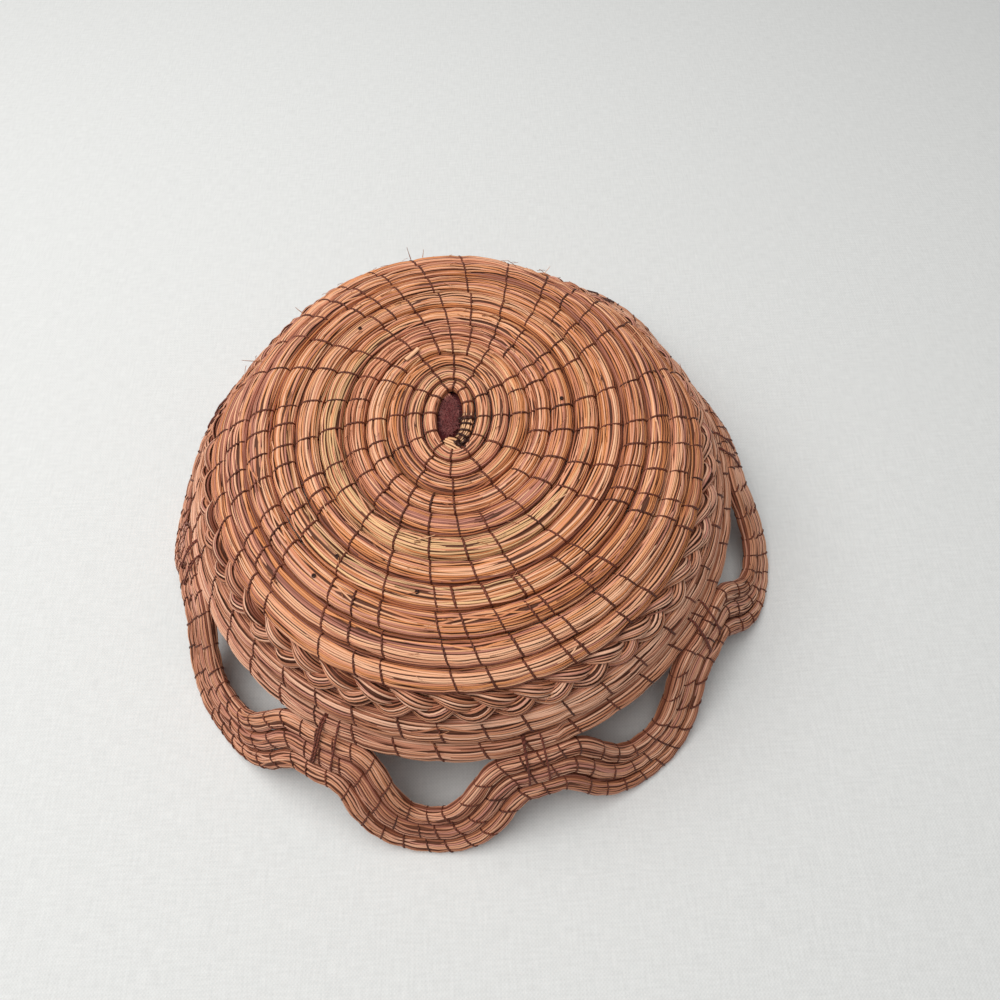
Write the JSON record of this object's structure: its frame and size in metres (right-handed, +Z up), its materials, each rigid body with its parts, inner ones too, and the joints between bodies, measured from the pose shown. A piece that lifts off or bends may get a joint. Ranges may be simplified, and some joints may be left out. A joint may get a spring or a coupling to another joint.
{
  "type": "coiled basket",
  "caption": "Shallow oval bowl of sewn needle bundles coiled in a spiral, with a plaited ring in its wall and a scalloped openwork rim, lying upturned.",
  "frame": {"origin": "the middle of the part's box in X and Y, on the surface that the rim stands on", "axes": "+Z up through the upturned base, +Y along the longer way of the oval, away from the viewer; turn the part half round about X to use it as a bowl"},
  "size_m": [0.2192, 0.235, 0.0668],
  "materials": {
    "bowl_needles": "dry needles, satin",
    "plait_needles": "dry needles, satin",
    "wall_needles": "dry needles, satin",
    "rim_needles": "dry needles, satin",
    "thread": "waxed thread",
    "lashing": "waxed thread",
    "felt": "rough felt",
    "wrapping": "pale fibre"
  },
  "bodies": {
    "root": {"centre_patch": "felt", "start_wrap": "wrapping", "start_knot": "thread", "bowl_coil": "bowl_needles", "plaited_ring": "plait_needles", "wall_coil": "wall_needles", "rim_row_inner": "rim_needles", "rim_row_middle": "rim_needles", "rim_row_outer": "rim_needles", "joint_lashing_1": "lashing", "joint_lashing_2": "lashing", "joint_lashing_3": "lashing", "joint_lashing_4": "lashing", "joint_lashing_5": "lashing", "joint_lashing_6": "lashing", "joint_lashing_7": "lashing", "joint_lashing_8": "lashing", "joint_lashing_9": "lashing", "stitch_run_long_1": "thread", "stitch_run_long_2": "thread", "stitch_run_long_3": "thread", "stitch_run_long_4": "thread", "stitch_run_long_5": "thread", "stitch_run_long_6": "thread", "stitch_run_long_7": "thread", "stitch_run_long_8": "thread", "stitch_run_long_9": "thread", "stitch_run_long_10": "thread", "stitch_run_long_11": "thread", "stitch_run_long_12": "thread", "stitch_run_short_1": "thread", "stitch_run_short_2": "thread", "stitch_run_short_3": "thread", "stitch_run_short_4": "thread", "stitch_run_short_5": "thread", "stitch_run_short_6": "thread", "stitch_run_short_7": "thread", "stitch_run_short_8": "thread", "stitch_run_short_9": "thread", "stitch_run_short_10": "thread", "stitch_run_short_11": "thread", "stitch_run_short_12": "thread", "stitch_run_wall_1": "thread", "stitch_run_wall_2": "thread", "stitch_run_wall_3": "thread", "stitch_run_wall_4": "thread", "stitch_run_wall_5": "thread", "stitch_run_wall_6": "thread", "stitch_run_wall_7": "thread", "stitch_run_wall_8": "thread", "stitch_run_wall_9": "thread", "stitch_run_wall_10": "thread", "stitch_run_wall_11": "thread", "stitch_run_wall_12": "thread", "stitch_run_wall_13": "thread", "stitch_run_wall_14": "thread", "stitch_run_wall_15": "thread", "stitch_run_wall_16": "thread", "stitch_run_wall_17": "thread", "stitch_run_wall_18": "thread"}
  },
  "joints": []
}
